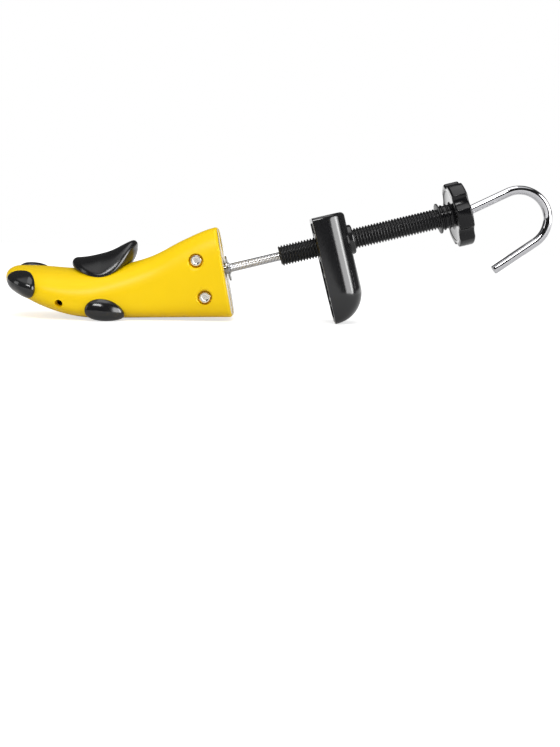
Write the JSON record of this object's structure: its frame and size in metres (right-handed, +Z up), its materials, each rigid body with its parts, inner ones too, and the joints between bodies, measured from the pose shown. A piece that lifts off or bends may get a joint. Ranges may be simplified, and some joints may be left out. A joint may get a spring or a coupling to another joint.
{
  "type": "shoe stretcher",
  "caption": "Screw shoe stretcher with a split last that spreads, a heel block on a screw tube, push-in plugs, an instep saddle and a hook handle.",
  "frame": {"origin": "centre of the part's bounding box in plan, at the level of the surface that it stands on", "axes": "+X from the toe towards the hook, +Z up, the near half of the last on the -Y side"},
  "size_m": [0.3632, 0.07, 0.0964],
  "materials": {
    "yellow_plastic": "smooth glossy yellow moulded plastic",
    "black_plastic": "smooth glossy black moulded plastic",
    "black_screw": "satin black moulded screw thread",
    "steel_rod": "bright nickel plated steel",
    "zinc_steel": "zinc plated steel",
    "brass_nut": "plain machined brass"
  },
  "bodies": {
    "frame": {"hinge_block": "zinc_steel", "near_hinge_pin": "zinc_steel", "far_hinge_pin": "zinc_steel"},
    "rod": {"hook_rod": "steel_rod", "thrust_washer": "zinc_steel", "retaining_clip": "zinc_steel", "rod_collar": "zinc_steel"},
    "nut": {"spreader_nut": "brass_nut", "near_cam_pin": "zinc_steel", "far_cam_pin": "zinc_steel"},
    "near_half": {"near_half_shell": "yellow_plastic", "near_bracket": "zinc_steel", "near_upper_screw": "zinc_steel", "near_lower_screw": "zinc_steel"},
    "far_half": {"far_half_shell": "yellow_plastic", "far_bracket": "zinc_steel", "far_upper_screw": "zinc_steel", "far_lower_screw": "zinc_steel"},
    "saddle": {"instep_saddle": "black_plastic"},
    "tube": {"screw_tube": "black_screw", "knob_wheel": "black_plastic"},
    "heel": {"heel_block": "black_plastic"},
    "near_toe": {"near_toe_plug": "black_plastic"},
    "near_ball": {"near_ball_plug": "black_plastic"},
    "far_toe": {"far_toe_plug": "black_plastic"},
    "far_ball": {"far_ball_plug": "black_plastic"}
  },
  "joints": [
    {"name": "rod_turn", "type": "hinge", "parent": "frame", "child": "rod", "pos_m": [-0.03479, 0, 0.03447], "axis": [-0.9674, 0, -0.2532], "range_deg": [0, 4320]},
    {"name": "nut_slide", "type": "slide", "parent": "frame", "child": "nut", "axis": [0.9674, 0, 0.2532], "range_m": [0, 0.0121]},
    {"name": "near_open", "type": "hinge", "parent": "frame", "child": "near_half", "pos_m": [-0.0435, -0.0075, 0.03219], "axis": [-0.2532, 0, 0.9674], "range_deg": [0, 7.05]},
    {"name": "far_open", "type": "hinge", "parent": "frame", "child": "far_half", "pos_m": [-0.0435, 0.0075, 0.03219], "axis": [0.2532, 0, -0.9674], "range_deg": [0, 7.05]},
    {"name": "saddle_rise", "type": "slide", "parent": "frame", "child": "saddle", "axis": [-0.2532, 0, 0.9674], "range_m": [0, 0.0078]},
    {"name": "knob_turn", "type": "hinge", "parent": "frame", "child": "tube", "pos_m": [0.06195, 0, 0.05979], "axis": [-0.9674, 0, -0.2532], "range_deg": [-4500, 10400]},
    {"name": "heel_slide", "type": "slide", "parent": "frame", "child": "heel", "axis": [0.9674, 0, 0.2532], "range_m": [-0.0252, 0.0579]},
    {"name": "near_toe_pull", "type": "slide", "parent": "near_half", "child": "near_toe", "axis": [-0.6305, -0.7693, -0.1034], "range_m": [0, 0.012]},
    {"name": "near_ball_pull", "type": "slide", "parent": "near_half", "child": "near_ball", "axis": [0.2509, -0.799, -0.5465], "range_m": [0, 0.012]},
    {"name": "far_toe_pull", "type": "slide", "parent": "far_half", "child": "far_toe", "axis": [-0.1194, 0.4144, 0.9022], "range_m": [0, 0.012]},
    {"name": "far_ball_pull", "type": "slide", "parent": "far_half", "child": "far_ball", "axis": [0.2509, 0.799, -0.5465], "range_m": [0, 0.012]}
  ],
  "couplings": [
    {"joint": "nut_slide", "follows": "rod_turn", "m_per_rad": 0.00015915},
    {"joint": "near_open", "follows": "rod_turn", "ratio": 0.0016204},
    {"joint": "far_open", "follows": "rod_turn", "ratio": 0.0016204},
    {"joint": "saddle_rise", "follows": "rod_turn", "m_per_rad": 0.00010212},
    {"joint": "heel_slide", "follows": "knob_turn", "m_per_rad": 0.00031831}
  ]
}
